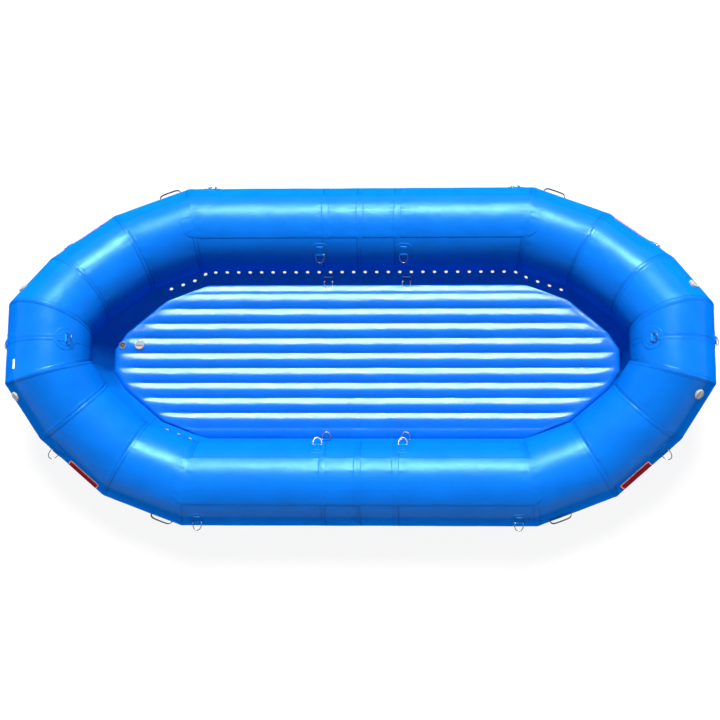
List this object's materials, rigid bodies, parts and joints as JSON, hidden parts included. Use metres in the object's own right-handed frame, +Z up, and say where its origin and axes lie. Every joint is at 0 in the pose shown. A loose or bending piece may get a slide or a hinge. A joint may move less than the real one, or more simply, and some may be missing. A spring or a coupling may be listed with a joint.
{
  "type": "self-bailing whitewater raft",
  "caption": "Inflatable whitewater raft: upturned segmented perimeter tube, ribbed air floor hung in a skirt with bailing holes, lashing rings, carry handles and inflation valves.",
  "frame": {"origin": "on the ground plane, under the middle of the tube's ring in length and width", "axes": "+X to the bow, +Y to port, +Z up"},
  "size_m": [4.3282, 2.1784, 0.7268],
  "materials": {
    "tube": "satin",
    "floor": "gloss",
    "skirt": "satin",
    "steel": "satin",
    "webbing": "matte",
    "plastic": "satin",
    "dark": "satin"
  },
  "bodies": {
    "raft": {"bailing_skirt": "skirt", "bend_a_bow_port": "tube", "bend_a_bow_starboard": "tube", "bend_a_stern_port": "tube", "bend_a_stern_starboard": "tube", "bend_b_bow_port": "tube", "bend_b_bow_starboard": "tube", "bend_b_stern_port": "tube", "bend_b_stern_starboard": "tube", "bend_c_bow_port": "tube", "bend_c_bow_starboard": "tube", "bend_c_stern_port": "tube", "bend_c_stern_starboard": "tube", "end_tube_bow": "tube", "end_tube_stern": "tube", "floor_beams": "floor", "floor_top_skin": "floor", "handle_bow_port": "webbing", "handle_bow_starboard": "webbing", "handle_stern_port": "webbing", "handle_stern_starboard": "webbing", "relief_valve_body": "plastic", "side_tube_port": "tube", "side_tube_starboard": "tube", "valve_body_bow_port": "plastic", "valve_body_bow_starboard": "plastic", "valve_body_floor": "plastic", "valve_body_stern_port": "plastic", "valve_body_stern_starboard": "plastic"},
    "ring_bend_bow_port": {"ring_bend_bow_port": "steel"},
    "ring_bend_bow_starboard": {"ring_bend_bow_starboard": "steel"},
    "ring_bend_stern_port": {"ring_bend_stern_port": "steel"},
    "ring_bend_stern_starboard": {"ring_bend_stern_starboard": "steel"},
    "ring_end_bow": {"ring_end_bow": "steel"},
    "ring_end_stern": {"ring_end_stern": "steel"},
    "ring_floor_bow_port": {"ring_floor_bow_port": "steel"},
    "ring_floor_bow_starboard": {"ring_floor_bow_starboard": "steel"},
    "ring_floor_stern_port": {"ring_floor_stern_port": "steel"},
    "ring_floor_stern_starboard": {"ring_floor_stern_starboard": "steel"},
    "ring_inner_bow_port": {"ring_inner_bow_port": "steel"},
    "ring_inner_bow_starboard": {"ring_inner_bow_starboard": "steel"},
    "ring_inner_stern_port": {"ring_inner_stern_port": "steel"},
    "ring_inner_stern_starboard": {"ring_inner_stern_starboard": "steel"},
    "ring_side_bow_port": {"ring_side_bow_port": "steel"},
    "ring_side_bow_starboard": {"ring_side_bow_starboard": "steel"},
    "ring_side_stern_port": {"ring_side_stern_port": "steel"},
    "ring_side_stern_starboard": {"ring_side_stern_starboard": "steel"},
    "ring_top_bow": {"ring_top_bow": "steel"},
    "ring_top_stern": {"ring_top_stern": "steel"},
    "valve_cap_bow_port": {"valve_cap_bow_port": "plastic"},
    "valve_poppet_bow_port": {"valve_poppet_bow_port": "dark"},
    "valve_cap_bow_starboard": {"valve_cap_bow_starboard": "plastic"},
    "valve_poppet_bow_starboard": {"valve_poppet_bow_starboard": "dark"},
    "valve_cap_stern_port": {"valve_cap_stern_port": "plastic"},
    "valve_poppet_stern_port": {"valve_poppet_stern_port": "dark"},
    "valve_cap_stern_starboard": {"valve_cap_stern_starboard": "plastic"},
    "valve_poppet_stern_starboard": {"valve_poppet_stern_starboard": "dark"},
    "valve_cap_floor": {"valve_cap_floor": "plastic"},
    "valve_poppet_floor": {"valve_poppet_floor": "dark"},
    "relief_valve_disc": {"relief_valve_disc": "dark"}
  },
  "joints": [
    {"name": "ring_bend_bow_port_swing", "type": "hinge", "parent": "raft", "child": "ring_bend_bow_port", "pos_m": [1.80709, 0.65849, 0.39355], "axis": [0.7374, -0.632, 0.2384], "range_deg": [-6, 164]},
    {"name": "ring_bend_bow_starboard_swing", "type": "hinge", "parent": "raft", "child": "ring_bend_bow_starboard", "pos_m": [1.83142, -0.63763, 0.40142], "axis": [-0.7374, -0.632, -0.2384], "range_deg": [-72, 98]},
    {"name": "ring_bend_stern_port_swing", "type": "hinge", "parent": "raft", "child": "ring_bend_stern_port", "pos_m": [-1.80709, 0.65849, 0.39355], "axis": [0.7374, 0.632, -0.2384], "range_deg": [-6, 164]},
    {"name": "ring_bend_stern_starboard_swing", "type": "hinge", "parent": "raft", "child": "ring_bend_stern_starboard", "pos_m": [-1.83142, -0.63763, 0.40142], "axis": [-0.7374, 0.632, 0.2384], "range_deg": [-72, 98]},
    {"name": "ring_end_bow_swing", "type": "hinge", "parent": "raft", "child": "ring_end_bow", "pos_m": [2.14156, 0.028, 0.48718], "axis": [0, -1, 0], "range_deg": [-15, 155]},
    {"name": "ring_end_stern_swing", "type": "hinge", "parent": "raft", "child": "ring_end_stern", "pos_m": [-2.14156, 0.013, 0.48718], "axis": [0, 1, 0], "range_deg": [-15, 155]},
    {"name": "ring_floor_bow_port_swing", "type": "hinge", "parent": "raft", "child": "ring_floor_bow_port", "pos_m": [0.28, 0.50587, 0.11295], "axis": [-1, 0, 0], "range_deg": [-4, 115]},
    {"name": "ring_floor_bow_starboard_swing", "type": "hinge", "parent": "raft", "child": "ring_floor_bow_starboard", "pos_m": [0.28, -0.50587, 0.11295], "axis": [1, 0, 0], "range_deg": [-4, 115]},
    {"name": "ring_floor_stern_port_swing", "type": "hinge", "parent": "raft", "child": "ring_floor_stern_port", "pos_m": [-0.21, 0.50587, 0.11295], "axis": [-1, 0, 0], "range_deg": [-4, 115]},
    {"name": "ring_floor_stern_starboard_swing", "type": "hinge", "parent": "raft", "child": "ring_floor_stern_starboard", "pos_m": [-0.21, -0.50587, 0.11295], "axis": [1, 0, 0], "range_deg": [-4, 115]},
    {"name": "ring_inner_bow_port_swing", "type": "hinge", "parent": "raft", "child": "ring_inner_bow_port", "pos_m": [0.269, 0.59207, 0.40715], "axis": [1, 0, 0], "range_deg": [-141, 29]},
    {"name": "ring_inner_bow_starboard_swing", "type": "hinge", "parent": "raft", "child": "ring_inner_bow_starboard", "pos_m": [0.269, -0.59207, 0.40715], "axis": [-1, 0, 0], "range_deg": [-141, 29]},
    {"name": "ring_inner_stern_port_swing", "type": "hinge", "parent": "raft", "child": "ring_inner_stern_port", "pos_m": [-0.245, 0.59207, 0.40715], "axis": [1, 0, 0], "range_deg": [-141, 29]},
    {"name": "ring_inner_stern_starboard_swing", "type": "hinge", "parent": "raft", "child": "ring_inner_stern_starboard", "pos_m": [-0.245, -0.59207, 0.40715], "axis": [-1, 0, 0], "range_deg": [-141, 29]},
    {"name": "ring_side_bow_port_swing", "type": "hinge", "parent": "raft", "child": "ring_side_bow_port", "pos_m": [0.96, 1.05203, 0.33018], "axis": [1, 0, 0], "range_deg": [-2, 168]},
    {"name": "ring_side_bow_starboard_swing", "type": "hinge", "parent": "raft", "child": "ring_side_bow_starboard", "pos_m": [0.962, -1.05203, 0.33018], "axis": [-1, 0, 0], "range_deg": [-68, 102]},
    {"name": "ring_side_stern_port_swing", "type": "hinge", "parent": "raft", "child": "ring_side_stern_port", "pos_m": [-0.93, 1.05203, 0.33018], "axis": [1, 0, 0], "range_deg": [-2, 168]},
    {"name": "ring_side_stern_starboard_swing", "type": "hinge", "parent": "raft", "child": "ring_side_stern_starboard", "pos_m": [-0.966, -1.05203, 0.33018], "axis": [-1, 0, 0], "range_deg": [-68, 102]},
    {"name": "ring_top_bow_swing", "type": "hinge", "parent": "raft", "child": "ring_top_bow", "pos_m": [1.73689, 0, 0.68564], "axis": [0, -1, 0], "range_deg": [-12.2, 157.8]},
    {"name": "ring_top_stern_swing", "type": "hinge", "parent": "raft", "child": "ring_top_stern", "pos_m": [-1.73689, 0, 0.68564], "axis": [0, 1, 0], "range_deg": [-100.3, 69.7]},
    {"name": "valve_cap_bow_port_twist", "type": "hinge", "parent": "raft", "child": "valve_cap_bow_port", "pos_m": [2.00158, 0.34174, 0.60137], "axis": [0.5389, 0.6184, 0.5719], "range_deg": [0, 120]},
    {"name": "valve_poppet_bow_port_push", "type": "slide", "parent": "raft", "child": "valve_poppet_bow_port", "axis": [-0.5389, -0.6184, -0.5719], "range_m": [0, 0.005], "stiffness_N_per_m": 100, "springref_m": -0.005},
    {"name": "valve_cap_bow_starboard_twist", "type": "hinge", "parent": "raft", "child": "valve_cap_bow_starboard", "pos_m": [2.01316, -0.32378, 0.60988], "axis": [0.5389, -0.6184, 0.5719], "range_deg": [0, 120]},
    {"name": "valve_poppet_bow_starboard_push", "type": "slide", "parent": "raft", "child": "valve_poppet_bow_starboard", "axis": [-0.5389, 0.6184, -0.5719], "range_m": [0, 0.005], "stiffness_N_per_m": 100, "springref_m": -0.005},
    {"name": "valve_cap_stern_port_twist", "type": "hinge", "parent": "raft", "child": "valve_cap_stern_port", "pos_m": [-2.03633, 0.34275, 0.55627], "axis": [-0.6771, 0.6224, 0.3926], "range_deg": [0, 120]},
    {"name": "valve_poppet_stern_port_push", "type": "slide", "parent": "raft", "child": "valve_poppet_stern_port", "axis": [0.6771, -0.6224, -0.3926], "range_m": [0, 0.005], "stiffness_N_per_m": 100, "springref_m": -0.005},
    {"name": "valve_cap_stern_starboard_twist", "type": "hinge", "parent": "raft", "child": "valve_cap_stern_starboard", "pos_m": [-2.0479, -0.32479, 0.56478], "axis": [-0.6771, -0.6224, 0.3926], "range_deg": [0, 120]},
    {"name": "valve_poppet_stern_starboard_push", "type": "slide", "parent": "raft", "child": "valve_poppet_stern_starboard", "axis": [0.6771, 0.6224, -0.3926], "range_m": [0, 0.005], "stiffness_N_per_m": 100, "springref_m": -0.005},
    {"name": "valve_cap_floor_twist", "type": "hinge", "parent": "raft", "child": "valve_cap_floor", "pos_m": [-1.39002, 0.0954, 0.1063], "axis": [0, 0, 1], "range_deg": [0, 120]},
    {"name": "valve_poppet_floor_push", "type": "slide", "parent": "raft", "child": "valve_poppet_floor", "axis": [0, 0, -1], "range_m": [0, 0.005], "stiffness_N_per_m": 100, "springref_m": -0.005},
    {"name": "relief_valve_disc_lift", "type": "slide", "parent": "raft", "child": "relief_valve_disc", "axis": [0, 0, 1], "range_m": [0, 0.0028], "stiffness_N_per_m": 200, "springref_m": -0.005}
  ]
}
